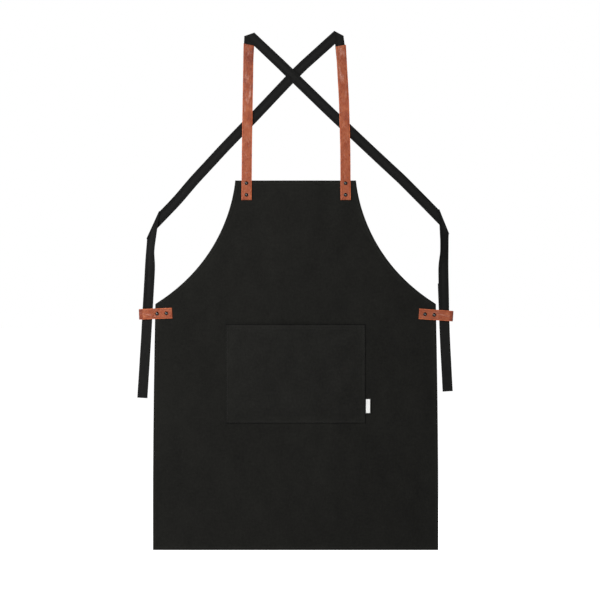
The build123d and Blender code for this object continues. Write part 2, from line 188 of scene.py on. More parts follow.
def smooth(values, sigma):
    """A Gaussian smoothing along the first axis that keeps both ends."""
    reach = int(sigma * 3) + 1
    weights = np.exp(-0.5 * (np.arange(-reach, reach + 1) / sigma) ** 2)
    weights /= weights.sum()
    head = 2 * values[0] - values[1 : reach + 1][::-1]
    tail = 2 * values[-1] - values[-reach - 1 : -1][::-1]
    padded = np.concatenate([head, values, tail])
    flat = padded.reshape(len(padded), -1)
    columns = [np.convolve(flat[:, k], weights, "valid") for k in range(flat.shape[1])]
    return np.stack(columns, 1).reshape(values.shape)


def step(edge0, edge1, x):
    """A smooth step from 0 at edge0 to 1 at edge1."""
    t = np.clip((x - edge0) / (edge1 - edge0), 0, 1)
    return t * t * (3 - 2 * t)


def peak(x, place, width):
    """A bell of height 1 at a place."""
    return np.exp(-(((x - place) / width) ** 2))


def round_edge(distance, radius):
    """How thick a rounded edge is, as a share, at a distance from its rim."""
    return np.sqrt(1 - (1 - np.clip(distance / radius, 0, 1)) ** 2)


def wobble(x, z, scale, seed):
    """Smooth repeatable noise over arrays, about -1 to 1."""
    x, z = np.broadcast_arrays(x, z)
    flat = [noise.noise(Vector((a / scale, b / scale, seed))) for a, b in zip(x.ravel(), z.ravel())]
    return np.array(flat).reshape(x.shape)


def unit(vectors):
    """Vectors along the last axis, each made one long."""
    return vectors / np.linalg.norm(vectors, axis=-1, keepdims=True)


def run_along(points):
    """The length of a path up to each of its points."""
    return np.concatenate([[0], np.cumsum(np.linalg.norm(np.diff(points, axis=0), axis=1))])


# ---- mesh helpers ----
def new_object(name, verts, faces, material, attributes):
    """A smooth-shaded mesh object with named vector attributes."""
    mesh = bpy.data.meshes.new(name)
    mesh.from_pydata(np.asarray(verts).tolist(), [], faces)
    mesh.validate()
    mesh.shade_smooth()
    for key, values in attributes.items():
        layer = mesh.attributes.new(key, "FLOAT_VECTOR", "POINT")
        layer.data.foreach_set("vector", np.asarray(values, np.float32).ravel())
    mesh.materials.append(material)
    return show(name, mesh)


def show(name, data):
    """A new object in the scene."""
    obj = bpy.data.objects.new(name, data)
    bpy.context.scene.collection.objects.link(obj)
    return obj


def place(piece, slot, bodies, fold_z=0.0, reach=0.0, stands_for=()):
    """Let a piece ride on its body, or, between two bodies, only bake its transform; hide the CAD nodes
    it stands for.
    """
    if isinstance(bodies, str):
        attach(piece, bodies)
    else:
        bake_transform(piece)
    if stands_for:
        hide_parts(*stands_for)


def grid_faces(rows, cols, base=0, flip=False):
    """Quads of a rows by cols grid of vertices that starts at base."""
    faces = []
    for r in range(rows - 1):
        for c in range(cols - 1):
            a = base + r * cols + c
            quad = [a, a + 1, a + cols + 1, a + cols]
            faces.append(quad[::-1] if flip else quad)
    return faces


def tube_faces(rings, around, base=0, flip=False):
    """Faces of a closed tube of rings of vertices, with its two ends."""
    faces = []
    for r in range(rings - 1):
        for k in range(around):
            a = base + r * around + k
            b = base + r * around + (k + 1) % around
            faces.append([a, b, b + around, a + around] if flip else [a, a + around, b + around, b])
    last = base + (rings - 1) * around
    ends = [list(range(base, base + around)), list(range(last + around - 1, last - 1, -1))]
    return faces + [end[::-1] if flip else end for end in ends]


def sheet(name, x, z, edge, front_y, back_y, material):
    """A closed sheet from grids of its places and its front and back depths."""
    rows, cols = x.shape
    count = rows * cols
    verts = np.concatenate([np.stack([x, y, z], 2).reshape(-1, 3) for y in (front_y, back_y)])
    faces = grid_faces(rows, cols) + grid_faces(rows, cols, count, True)
    rim = [(0, c) for c in range(cols)]
    rim += [(r, cols - 1) for r in range(1, rows)]
    rim += [(rows - 1, c) for c in range(cols - 2, -1, -1)]
    rim += [(r, 0) for r in range(rows - 2, 0, -1)]
    loop = [r * cols + c for r, c in rim]
    for a, b in zip(loop, loop[1:] + loop[:1]):
        faces.append([b, a, a + count, b + count])
    coords = np.concatenate([np.stack([x, z, edge], 2).reshape(-1, 3)] * 2)
    return new_object(name, verts, faces, material, {"cloth": coords})


def grid_normals(points):
    """Unit normals of a grid of points, facing -Y for a front-facing sheet."""
    normal = np.cross(np.gradient(points, axis=1), np.gradient(points, axis=0))
    return normal / np.maximum(np.linalg.norm(normal, axis=2, keepdims=True), 1e-12)


def keep_normals(obj, normals):
    """Fix the shading normals, so that two pieces that meet shade as one."""
    obj.data.normals_split_custom_set_from_vertices(normals.reshape(-1, 3).tolist())


# ---- materials ----
class Nodes:
    """A short way to write the node tree of a material or a world."""

    def __init__(self, owner):
        owner.use_nodes = True
        self.owner = owner
        self.tree = owner.node_tree

    def set(self, socket, given):
        """Link an output to a socket, or give the socket a value."""
        if isinstance(given, bpy.types.NodeSocket):
            self.tree.links.new(given, socket)
        else:
            socket.default_value = given

    def add(self, kind, inputs, **settings):
        """A node with its settings, and its inputs by name or number."""
        node = self.tree.nodes.new("ShaderNode" + kind)
        for key, value in settings.items():
            setattr(node, key, value)
        for key, given in inputs.items():
            self.set(node.inputs[key], given)
        return node

    def math(self, operation, *values):
        return self.add("Math", dict(enumerate(values)), operation=operation).outputs[0]

    def total(self, *terms):
        return functools.reduce(lambda a, b: self.math("ADD", a, b), terms)

    def product(self, *factors):
        return functools.reduce(lambda a, b: self.math("MULTIPLY", a, b), factors)

    def gap(self, value, place):
        """How far a value is from a place."""
        return self.math("ABSOLUTE", self.math("SUBTRACT", value, place))

    def wave(self, value, length):
        """A sine wave of a given length."""
        return self.math("SINE", self.math("MULTIPLY", value, 2 * math.pi / length))

    def attribute(self, name):
        """A vector attribute of the mesh, whole and as its three parts."""
        vector = self.add("Attribute", {}, attribute_name=name).outputs["Vector"]
        return vector, self.add("SeparateXYZ", {0: vector}).outputs

    def stretched(self, vector, scale):
        return self.add("Mapping", {"Vector": vector, "Scale": scale}).outputs[0]

    def noise(self, vector, scale, detail=3.0, rough=0.5):
        inputs = {"Vector": self.stretched(vector, scale), "Scale": 1.0, "Detail": detail,
                  "Roughness": rough}
        return self.add("TexNoise", inputs).outputs["Fac"]

    def cloud(self, vector, scale, reach, *settings):
        """Noise spread from -reach to reach."""
        return self.span(self.noise(vector, scale, *settings), 0.3, 0.7, -reach, reach)

    def ramp(self, fac, stops):
        node = self.add("ValToRGB", {0: fac})
        elements = node.color_ramp.elements
        while len(elements) < len(stops):
            elements.new(0.5)
        for element, (place, color) in zip(elements, stops):
            element.position = place
            element.color = (*color, 1)
        return node.outputs[0]

    def span(self, value, low, high, to_low=0.0, to_high=1.0):
        inputs = {"Value": value, "From Min": low, "From Max": high, "To Min": to_low, "To Max": to_high}
        return self.add("MapRange", inputs).outputs[0]

    def tint(self, color, factor):
        """A colour multiplied by a grey factor."""
        return self.add("VectorMath", {0: color, "Scale": factor}, operation="SCALE").outputs[0]

    def added(self, color, addition, factor):
        """A colour plus a share of another one."""
        inputs = {0: addition, 1: factor, 2: color}
        return self.add("VectorMath", inputs, operation="MULTIPLY_ADD").outputs[0]

    def bump(self, height, distance, strength, **under):
        inputs = {"Height": height, "Distance": distance, "Strength": strength, **under}
        return self.add("Bump", inputs).outputs[0]

    def finish(self, color, **inputs):
        """The material, with the inputs of its shader set."""
        inputs["Base Color"] = color
        for key, given in inputs.items():
            self.set(self.tree.nodes["Principled BSDF"].inputs[key.replace("_", " ")], given)
        return self.owner


def new_material(name):
    return Nodes(bpy.data.materials.new(name))


def weave(n, x, z, pitch):
    """Height of a plain weave: threads of one set pass over the other in turn."""
    wave_x, wave_z = n.wave(x, 2 * pitch), n.wave(z, 2 * pitch)
    over = n.math("GREATER_THAN", n.product(wave_x, wave_z), 0.0)
    warp = n.product(n.math("ABSOLUTE", wave_x), over)
    weft = n.product(n.math("ABSOLUTE", wave_z), n.math("SUBTRACT", 1.0, over))
    return n.total(warp, weft)


def canvas_material(name, shade, rim, mouth_z=None):
    """Black cotton canvas: plain weave with painted shade in its hollows, slubs both ways, a painted
    highlight along its hems with painted shade in the crease inside them, a dark rim of painted
    shade, painted shade right of x = 0.1 m and, where there is a mouth, a line of painted shade
    along it."""
    n = new_material(name)
    vector, (x, z, edge) = n.attribute("cloth")
    height = weave(n, x, z, 0.9 * MM)
    slubs = n.total(n.noise(vector, (900, 60, 1), 2.0), n.noise(vector, (60, 900, 1), 2.0))
    blotch = n.noise(vector, (190, 150, 1), 3.0, 0.65)
    tone = n.total(
        n.span(slubs, 0.6, 1.4, 0.80, 1.20), n.cloud(vector, (26, 18, 1), 0.14, 4.0, 0.6),
        # The weave's height is painted in below: darker hollows and lighter raised threads, painted shade
        # and painted highlight.
        n.span(blotch, 0.3, 0.7, -0.26, 0.26), n.span(height, 0.0, 1.0, -0.12, 0.08),
        # The last term below paints the canvas darker right of x = 0.1 m: painted shade, as on a panel
        # turned away from the light.
        n.cloud(vector, (8, 5, 1), 0.09, 2.0), n.span(x, 95 * MM, 110 * MM, 0.02, -0.05),
    )
    # Painted highlight along the hems, fading out 20 mm from the edge.
    hem = n.span(edge, 3 * MM, 20 * MM, 0.17, 0.0)
    # Painted shade in the crease at the inner edge of the turned hem.
    crease = n.span(n.gap(edge, HEM_WIDTH + 0.9 * MM), 0.0, 1.1 * MM, -0.08, 0.0)
    # The rim term below is a dark line of painted shade along the outer edge.
    tone = n.total(tone, hem, crease, n.span(edge, 1.7 * MM, 3.0 * MM, rim, 0.0))
    # Where there is a mouth, painted shade in a line just under it.
    if mouth_z:
        tone = n.total(tone, n.span(z, mouth_z - 2.3 * MM, mouth_z - 1.5 * MM, 0.0, -0.5))
    normal = n.bump(height, 0.16 * MM, 0.8, Normal=n.bump(slubs, 0.25 * MM, 0.6))
    return n.finish(n.tint(shade, tone), Normal=normal, Roughness=n.span(blotch, 0.2, 0.8, 0.82, 0.94),
                    Sheen_Weight=0.04, Sheen_Roughness=0.5, Specular_IOR_Level=0.10)


def webbing_material():
    """Black woven tape: ribs across it, a flat selvedge, and a faint nap."""
    n = new_material("black_webbing_tape")
    vector, (across, along, _) = n.attribute("strap")
    rib_pitch = 1.5 * MM
    ribs = n.math("ABSOLUTE", n.wave(along, 2 * rib_pitch))
    shift = n.total(along, n.product(n.math("SIGN", n.wave(across, 1.7 * MM)), 0.4 * MM))
    twill = n.math("ABSOLUTE", n.wave(shift, 2 * rib_pitch))
    height = n.total(n.product(ribs, 0.4), n.product(twill, 0.6))
    fuzz = n.noise(vector, (420, 420, 1), 3.0, 0.6)
    cloud = n.noise(vector, (90, 40, 1), 3.0, 0.6)
    selvedge = n.span(n.math("ABSOLUTE", across), 10.9 * MM, 12.2 * MM, 0.0, -0.34)
    # The ribs are painted from their height: darker hollows and lighter tops, painted shade and painted
    # highlight.
    tone = n.total(n.span(height, 0.0, 1.0, 0.74, 1.18), n.span(fuzz, 0.3, 0.7, -0.16, 0.16),
                   n.span(cloud, 0.3, 0.7, -0.10, 0.12), selvedge)
    normal = n.bump(height, 0.3 * MM, 0.9, Normal=n.bump(fuzz, 0.3 * MM, 0.5))
    return n.finish(n.tint((0.0074, 0.0074, 0.0071), tone), Normal=normal, Roughness=0.80,
                    Sheen_Weight=0.03, Sheen_Roughness=0.45, Specular_IOR_Level=0.12)


def leather_material(name, gloss_and_highlight_at, top_shade=0.0, bend=None):
    """Tan pull-up leather: light and dark patches, pores, a dark pressed line inside a paler worn
    edge. Wrinkles with a painted highlight, and a glossier coat, are strongest at one place
    along it. At a bend it has painted shade, and a painted highlight beside it."""
    n = new_material(name)
    vector, (across, along, half) = n.attribute("strap")
    patches = n.noise(vector, (70, 42, 1), 4.0, 0.62)
    streaks = n.noise(vector, (330, 130, 1), 4.0, 0.6)
    fine = n.noise(vector, (900, 700, 1), 3.0, 0.6)
    wrinkles = n.noise(vector, (150, 230, 1), 4.0, 0.65)
    gloss_and_highlight_patches = n.noise(vector, (80, 26, 1), 3.0, 0.6)
    cells = {"Vector": n.stretched(vector, (1500, 1200, 1)), "Scale": 1.0}
    pores = n.add("TexVoronoi", cells, feature="SMOOTH_F1").outputs["Distance"]
    mix = n.total(n.product(patches, 0.5), n.product(streaks, 0.3), n.product(fine, 0.2),
                  n.span(along, 0.25, 0.34, 0.0, top_shade))
    # At a bend the colour is moved along the ramp: painted shade on the bend, a painted highlight beside
    # it.
    if bend:
        off_bend = n.gap(along, bend)
        mix = n.total(mix, n.span(off_bend, 7.5 * MM, 10.5 * MM, -0.08, 0.05),
                      n.span(off_bend, 13 * MM, 20 * MM, 0.0, -0.05))
    hide = n.ramp(mix, [(0.36, (0.150, 0.020, 0.005)), (0.46, (0.245, 0.048, 0.014)),
                        (0.56, (0.300, 0.074, 0.026)), (0.68, (0.395, 0.135, 0.064))])
    inset = n.math("SUBTRACT", half, n.math("ABSOLUTE", across))
    cut_edge = n.span(inset, 0.0, 0.6 * MM, 0.5, 1.0)
    line = n.span(n.gap(inset, 3.0 * MM), 0.0, 0.9 * MM, 0.62, 1.0)
    worn = n.product(n.span(inset, 1.6 * MM, 2.8 * MM, 0.6, 0.0), n.span(streaks, 0.3, 0.55, 0.4, 1.0))
    tone = n.product(n.total(n.product(cut_edge, line), worn), n.span(pores, 0.0, 0.5, 0.86, 1.05),
                     n.span(along, 0.24, 0.36, 1.0, 0.88))
    # Painted highlight: a pale grey added to the colour on wrinkle ridges in some patches, away from the
    # edges, strongest near one place along the strap; the same patches get a glossier coat.
    ridge = n.span(n.gap(wrinkles, 0.5), 0.0, 0.10, 1.0, 0.35)
    gloss_and_highlight_zone = n.span(n.gap(along, gloss_and_highlight_at), 20 * MM, 55 * MM, 1.1, 0.45)
    painted_highlight = n.product(n.span(gloss_and_highlight_patches, 0.52, 0.70), ridge, n.span(inset, 3.0 * MM, 6.0 * MM), gloss_and_highlight_zone)
    color = n.added(n.tint(hide, tone), (0.19, 0.17, 0.16), painted_highlight)
    normal = n.bump(pores, 0.12 * MM, 0.5, Normal=n.bump(wrinkles, 1.5 * MM, 0.9))
    rough = n.total(n.span(gloss_and_highlight_patches, 0.42, 0.60, 0.52, 0.27), n.span(fine, 0.3, 0.7, -0.04, 0.06))
    coat = n.product(n.span(gloss_and_highlight_patches, 0.45, 0.62, 0.05, 0.35), gloss_and_highlight_zone)
    return n.finish(color, Normal=normal, Roughness=rough, Coat_Weight=coat, Coat_Roughness=0.2,
                    Specular_IOR_Level=0.36)


def gunmetal_material():
    """Dark plated rivets, with a painted highlight on the top of each dome."""
    n = new_material("gunmetal_rivets")
    coords = n.add("TexCoord", {}).outputs
    tarnish = n.noise(coords["Object"], (300, 300, 300))
    scratches = n.noise(coords["Object"], (2200, 600, 900))
    facing = n.add("SeparateXYZ", {0: coords["Normal"]}).outputs[1]
    # Painted highlight: near-white added to the plated colour where the dome faces straight front or
    # back.
    crown_highlight = n.span(n.math("ABSOLUTE", facing), 0.975, 0.99)
    plated = n.ramp(tarnish, [(0.30, (0.004, 0.004, 0.005)), (0.70, (0.014, 0.014, 0.014))])
    return n.finish(n.added(plated, (0.9, 0.9, 0.9), crown_highlight), Normal=n.bump(scratches, 0.05 * MM, 0.25),
                    Metallic=1.0, Roughness=n.span(scratches, 0.3, 0.7, 0.10, 0.26), Coat_Weight=0.3,
                    Coat_Roughness=0.06)


def thread_material(name, color):
    """Twisted sewing thread."""
    n = new_material(name)
    vector, (across, along, _) = n.attribute("strap")
    twist = n.wave(n.total(along, across), 0.5 * MM)
    # The twist is painted in: darker grooves and lighter ridges, painted shade and painted highlight.
    tone = n.total(n.span(twist, -1.0, 1.0, 0.8, 1.15), n.cloud(vector, (900, 900, 1), 0.1, 2.0))
    return n.finish(n.tint(color, tone), Normal=n.bump(twist, 0.08 * MM, 0.7), Roughness=0.6,
                    Specular_IOR_Level=0.2, Sheen_Weight=0.04)


def label_material():
    """White satin-woven tape, blank."""
    n = new_material("white_label_tape")
    vector, (x, z, edge) = n.attribute("cloth")
    height = weave(n, x, z, 0.42 * MM)
    cloud = n.noise(vector, (300, 300, 1))
    # The weave is painted from its height: its hollows a little darker, painted shade.
    tone = n.total(n.span(height, 0.0, 1.0, 0.92, 1.0), n.span(cloud, 0.3, 0.7, -0.03, 0.02),
                   n.span(edge, 0.0, 0.9 * MM, -0.10, 0.0))
    return n.finish(n.tint((0.78, 0.78, 0.76), tone), Normal=n.bump(height, 0.12 * MM, 0.6),
                    Roughness=0.62, Sheen_Weight=0.2)


def floor_material():
    """Pale paint, a little uneven, that the camera sees as nearly white."""
    n = new_material("pale_floor")
    grain = n.noise(n.add("TexCoord", {}).outputs["Object"], (3, 3, 3), 2.0)
    look = n.tint((0.93, 0.93, 0.93), n.span(grain, 0.3, 0.7, 0.985, 1.0))
    seen = n.product(n.add("LightPath", {}).outputs["Is Camera Ray"], 0.9)
    return n.finish(look, Emission_Color=look, Emission_Strength=seen, Roughness=0.9,
                    Specular_IOR_Level=0.1)


BODY_CLOTH = canvas_material("black_canvas_body", (0.0080, 0.0080, 0.0068), -0.30)
# The pocket's copy of the canvas is painted a little lighter than the body's, painted light for the light
# on the pocket front, with a darker rim of painted shade.
POCKET_LOOK = canvas_material("black_canvas_pocket", (0.0093, 0.0093, 0.0081), -0.45, POCKET_HI.z)
WEBBING = webbing_material()
STRAP_LEATHER = {"left": leather_material("left_strap_leather", 0.255, top_shade=-0.08),
                 "right": leather_material("right_strap_leather", 0.335)}
BLACK_THREAD = thread_material("black_thread", (0.0095, 0.0095, 0.0083))
TAN_THREAD = thread_material("tan_thread", (0.15, 0.035, 0.015))


# ---- cloth simulation ----
def simulate_sheet(x, z, start_y, pinned, slack, frames, gravity):
    """Depths of a slack sheet after a short cloth simulation, on the grid of its places."""
    rows, cols = x.shape
    verts = np.stack([x, start_y, z], 2).reshape(-1, 3)
    mesh = bpy.data.meshes.new("simulated_sheet")
    mesh.from_pydata(verts.tolist(), [], grid_faces(rows, cols))
    obj = show("simulated_sheet", mesh)
    group = obj.vertex_groups.new(name="pins")
    group.add([int(i) for i in np.flatnonzero(pinned.ravel())], 1.0, "REPLACE")
    cloth = obj.modifiers.new("cloth", "CLOTH")
    for key, value in CLOTH_SETTINGS.items():
        setattr(cloth.settings, key, value)
    cloth.settings.shrink_min = -slack
    cloth.settings.effector_weights.gravity = gravity
    cloth.point_cache.frame_end = frames
    scene = bpy.context.scene
    for number in range(1, frames + 1):
        scene.frame_set(number)
    settled = obj.evaluated_get(bpy.context.evaluated_depsgraph_get()).data
    depths = np.array([v.co for v in settled.vertices])[:, 1].reshape(rows, cols)
    scene.frame_set(1)
    bpy.data.objects.remove(obj)
    return depths


def smooth_both(field, sigma):
    return smooth(smooth(field, sigma).T, sigma).T


def between(rows_at, cols_at, field, z, u):
    """A field on a grid of heights and widths, read at (z, u) arrays."""
    r = np.interp(z, rows_at, np.arange(len(rows_at)))
    c = np.interp(u, cols_at, np.arange(len(cols_at)))
    r0 = np.clip(r.astype(int), 0, len(rows_at) - 2)
    c0 = np.clip(c.astype(int), 0, len(cols_at) - 2)
    fr, fc = r - r0, c - c0
    low = field[r0, c0] * (1 - fc) + field[r0, c0 + 1] * fc
    high = field[r0 + 1, c0] * (1 - fc) + field[r0 + 1, c0 + 1] * fc
    return low * (1 - fr) + high * fr


# ---- the canvas body ----
def read_half_widths():
    """The body's half width at every height, from the CAD sheet."""
    cuts = Cuts("hem_panel", "skirt_panel", "bib_panel")
    heights = np.arange(0.25 * MM, BIB_TOP, 0.5 * MM)
    known = [(z, cuts.width(z) / 2) for z in heights if len(cuts.at(z)) > 3]
    return np.array(known).T


HALF_AT, HALF_WIDTHS = read_half_widths()


def half_width(z):
    return np.interp(z, HALF_AT, HALF_WIDTHS)


def outline_points():
    """The right half of the outline, from the hem's middle round to the top's middle."""
    z = np.arange(0, BIB_TOP + 1e-6, 2 * MM)
    side = np.stack([half_width(z), z], 1)
    low = np.stack([np.linspace(0, side[0, 0], 100)[:-1], np.zeros(99)], 1)
    top = np.stack([np.linspace(side[-1, 0], 0, 60)[1:], np.full(59, BIB_TOP)], 1)
    return np.concatenate([low, side, top])


OUTLINE = outline_points()


def edge_distance(x, z):
    """Distance from points of the sheet to its nearest edge."""
    points = np.stack([np.abs(np.ravel(x)), np.ravel(z)], 1)
    best = np.full(len(points), 1.0)
    for a, b in zip(OUTLINE[:-1], OUTLINE[1:]):
        along = b - a
        t = np.clip((points - a) @ along / (along @ along), 0, 1)
        gap = points - a - t[:, None] * along
        best = np.minimum(best, np.einsum("ij,ij->i", gap, gap))
    return np.sqrt(best).reshape(np.shape(x))


def drape_grid():
    """The body's gentle waves: canvas hung from its straps and loops, with a little slack."""
    rows_at = np.linspace(0, BIB_TOP, 46)
    cols_at = np.linspace(-1, 1, 37)
    z, u = np.meshgrid(rows_at, cols_at, indexing="ij")
    x = u * half_width(z)
    start = 3 * MM * wobble(x, z, 0.16, 4.2) + 1.5 * MM * wobble(x, z, 0.07, 9.1)
    strap_lo, strap_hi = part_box("right_strap_base")
    off_strap = np.abs(np.abs(x) - (strap_lo.x + strap_hi.x) / 2)
    loop_lo, loop_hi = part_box("right_side_loop")
    off_loop = np.abs(z - (loop_lo.z + loop_hi.z) / 2)
    at_straps = (z > strap_lo.z) & (off_strap < 30 * MM)
    at_loops = (off_loop < 25 * MM) & (np.abs(x) > loop_lo.x)
    moved = simulate_sheet(x, z, start, at_straps | at_loops, 0.006, 30, 0.35)
    moved = smooth_both(moved - moved.mean(), 1.0)
    return rows_at, cols_at, DRAPE_LIMIT * np.tanh(moved / (DRAPE_LIMIT * 2))


DRAPE = drape_grid()


def leather_gaps(x, z):
    """Distances to each piece of leather that lies on the canvas."""
    for node in LEATHER_ON_CANVAS:
        lo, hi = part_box(node)
        out_x = np.maximum(np.maximum(lo.x - x, x - hi.x), 0)
        out_z = np.maximum(np.maximum(lo.z - z, z - hi.z), 0)
        yield np.hypot(out_x, out_z)


def rigid_mask(x, z):
    """0 where leather and rivets hold the canvas flat, 1 away from them."""
    return math.prod(step(3 * MM, 60 * MM, gap) for gap in leather_gaps(x, z))


def drape(x, z):
    """How far the cloth stands off its flat plane."""
    return between(*DRAPE, z, x / half_width(z)) * rigid_mask(x, z)


def hem_pucker(x, z, edge):
    """Small waves that stitching pulls into a hem."""
    run = np.where(np.abs(x) > half_width(z) - 20 * MM, z, x)
    slow = wobble(run, np.sign(x) * 3, 0.022, 2.7)
    fast = np.sin(run / STITCH_PITCH * math.pi)
    return step(16 * MM, 6 * MM, edge) * (0.28 * MM * slow + 0.05 * MM * fast)


def cloth_faces(x, z, edge):
    """Front and back depths of the sheet: its turned hem, round edge, stitch line and drape."""
    middle = (CLOTH_FRONT_Y + CLOTH_BACK_Y) / 2
    rounding = np.maximum(round_edge(edge, 1.3 * MM), CLOTH_THINNEST)
    hem = step(HEM_WIDTH + 0.9 * MM, HEM_WIDTH - 0.7 * MM, edge)
    groove = peak(edge, HEM_STITCH, 0.55 * MM) * 0.22 * MM
    ridge = peak(edge, HEM_WIDTH + 1.2 * MM, 0.7 * MM) * 0.12 * MM
    front = (middle - CLOTH_FRONT_Y + hem * HEM_FRONT_RISE) * rounding - groove - ridge
    back = (CLOTH_BACK_Y - middle + hem * HEM_BACK_RISE) * rounding - groove
    shift = middle + drape(x, z) + hem_pucker(x, z, edge)
    return shift - front, shift + back


def body_columns(z):
    """Each row's places across the sheet, close together at both edges."""
    half = half_width(z)
    slant = np.minimum(np.sqrt(1 + np.gradient(half, z) ** 2), 2.0)
    right = half[:, None] - EDGE_STEPS[None, :] * slant[:, None]
    inner_half = half[:, None] - 15 * MM * slant[:, None]
    inner = inner_half * np.linspace(-1, 1, 127)[None, :]
    return np.concatenate([-right, inner, right[:, ::-1]], 1)


def build_body():
    """The canvas sheet, as an upper piece and a lower piece that meet behind the pocket."""
    inner = np.arange(16 * MM, BIB_TOP - 15 * MM, 4 * MM)
    z_rows = np.concatenate([EDGE_STEPS, inner, BIB_TOP - EDGE_STEPS[::-1]])
    x = body_columns(z_rows)
    z = np.repeat(z_rows[:, None], x.shape[1], 1)
    edge = edge_distance(x, z)
    depths = cloth_faces(x, z, edge)
    front, back = (grid_normals(np.stack([x, y, z], 2)) for y in depths)
    shading = np.stack([front, -back])
    cut = int(np.argmin(np.abs(z_rows - SPLIT_Z)))
    parts = {"upper": (slice(cut, None), ("bib_panel", "skirt_panel")),
             "lower": (slice(0, cut + 1), ("hem_panel",))}
    for part, (rows, nodes) in parts.items():
        grids = [grid[rows] for grid in (x, z, edge, *depths)]
        piece = sheet(f"canvas_{part}", *grids, BODY_CLOTH)
        keep_normals(piece, shading[:, rows])
        place(piece, "black_canvas", *CANVAS_FOLDS[part], nodes)


# ---- stitches ----
def stitch_mesh(name, path, normal, material, skip=None):
    """Separate raised stitches along a path, each a little lozenge of thread."""
    run = run_along(path)
    around = np.linspace(0, 2 * math.pi, STITCH_SIDES + 1)[:-1]
    verts, faces, coords = [], [], []
    for middle in (np.arange(int(run[-1] / STITCH_PITCH)) + 0.5) * STITCH_PITCH:
        at = np.array([np.interp(middle, run, path[:, k]) for k in range(3)])
        if skip and skip(at):
            continue
        nearest = min(int(np.searchsorted(run, middle)), len(path) - 1)
        direction = unit(path[nearest] - path[nearest - 1])
        side = np.cross(direction, normal)
        faces += tube_faces(len(STITCH_RINGS), STITCH_SIDES, len(verts), True)
        for share, size in STITCH_RINGS:
            point = at + direction * share * STITCH_LENGTH - normal * (share * share * STITCH_RADIUS)
            for angle in around:
                out = side * math.cos(angle) * 1.15 + normal * (math.sin(angle) * 0.8)
                verts.append(point + out * size * STITCH_RADIUS)
                coords.append((math.cos(angle) * STITCH_RADIUS, middle + share * STITCH_LENGTH, 0))
    return new_object(name, verts, faces, material, {"strap": coords})


def offset_outline(inset):
    """The outline of the whole sheet, moved in by inset, as (x, z) points from the hem's middle."""
    along = unit(np.gradient(OUTLINE, axis=0))
    moved = OUTLINE + np.stack([-along[:, 1], along[:, 0]], 1) * inset
    keep = edge_distance(moved[:, 0], moved[:, 1]) > inset * 0.985
    return moved[keep & (moved[:, 0] >= 0)]


def under_leather(at):
    """True for a place that leather covers."""
    return min(leather_gaps(at[0], at[2])) < MM


def build_hem_stitches():
    """One line of stitches round the body, seen on both faces, in an upper and a lower piece."""
    half = offset_outline(HEM_STITCH)
    x, z = np.concatenate([half, half[::-1] * [-1, 1]]).T
    front_y, back_y = cloth_faces(x, z, np.full(len(x), HEM_STITCH))
    lift = 0.12 * MM
    for part, nodes in (("upper", ("bib_thread", "skirt_thread")), ("lower", ("hem_thread",))):
        skip = lambda at, low=part == "lower": (at[2] < SPLIT_Z) != low or under_leather(at)
        for face, y, out in (("front", front_y - lift, -DEPTH), ("back", back_y + lift, DEPTH)):
            path = np.stack([x, y, z], 1)
            piece = stitch_mesh(f"hem_stitches_{part}_{face}", path, out, BLACK_THREAD, skip)
            place(piece, "canvas_thread", *CANVAS_FOLDS[part], nodes if face == "front" else ())


# ---- pocket ----
def pocket_edge(x, z):
    """Distance to the pocket's sewn sides and bottom."""
    return np.minimum(POCKET_HALF - np.abs(x), z - POCKET_LO.z)


def pocket_rise(z):
    """Height in the pocket, from 0 at its bottom to 1 at its mouth."""
    return (z - POCKET_LO.z) / (POCKET_HI.z - POCKET_LO.z)


def pocket_puff_grid():
    """How the pocket's slack front swells, from a cloth simulation."""
    rows_at = np.linspace(POCKET_LO.z, POCKET_HI.z, 26)
    cols_at = np.linspace(-POCKET_HALF, POCKET_HALF, 35)
    z, x = np.meshgrid(rows_at, cols_at, indexing="ij")
    across = np.cos(x / POCKET_HALF * math.pi / 2)
    start = -3 * MM * across * np.sin(np.minimum(pocket_rise(z), 0.8) * math.pi / 1.6)
    start += 0.8 * MM * wobble(x, z, 0.06, 6.6)
    moved = simulate_sheet(x, z, start, pocket_edge(x, z) < 9 * MM, 0.004, 25, 0.2)
    return rows_at, cols_at, POCKET_PUFF * np.tanh(smooth_both(moved, 0.8) / POCKET_PUFF)


PUFF = pocket_puff_grid()


def pocket_depth(x, z):
    """Depth of the pocket cloth's inner face, in front of the canvas it is sewn to."""
    puff = -between(*PUFF, z, x)
    sides = step(6 * MM, 70 * MM, POCKET_HALF - np.abs(x))
    gape = 1.6 * MM * step(0.0, 1.0, pocket_rise(z)) ** 2 * sides
    swell = step(5 * MM, 40 * MM, pocket_edge(x, z)) * np.maximum(puff, -0.2 * MM) + gape
    return CLOTH_FRONT_Y + drape(x, z) - 0.05 * MM - swell


def pocket_grid():
    """Places across and up the pocket, close together at its edges and its mouth hem."""
    inner = 11 * MM
    across = np.linspace(inner - POCKET_HALF, POCKET_HALF - inner, 100)
    x = np.concatenate([POCKET_STEPS - POCKET_HALF, across, POCKET_HALF - POCKET_STEPS[::-1]])
    height = POCKET_HI.z - POCKET_LO.z
    up = np.linspace(inner, height - 19 * MM, 66)
    z = np.concatenate([POCKET_STEPS, up, height - MOUTH_STEPS[::-1]]) + POCKET_LO.z
    z, x = np.meshgrid(z, x, indexing="ij")
    return x, z


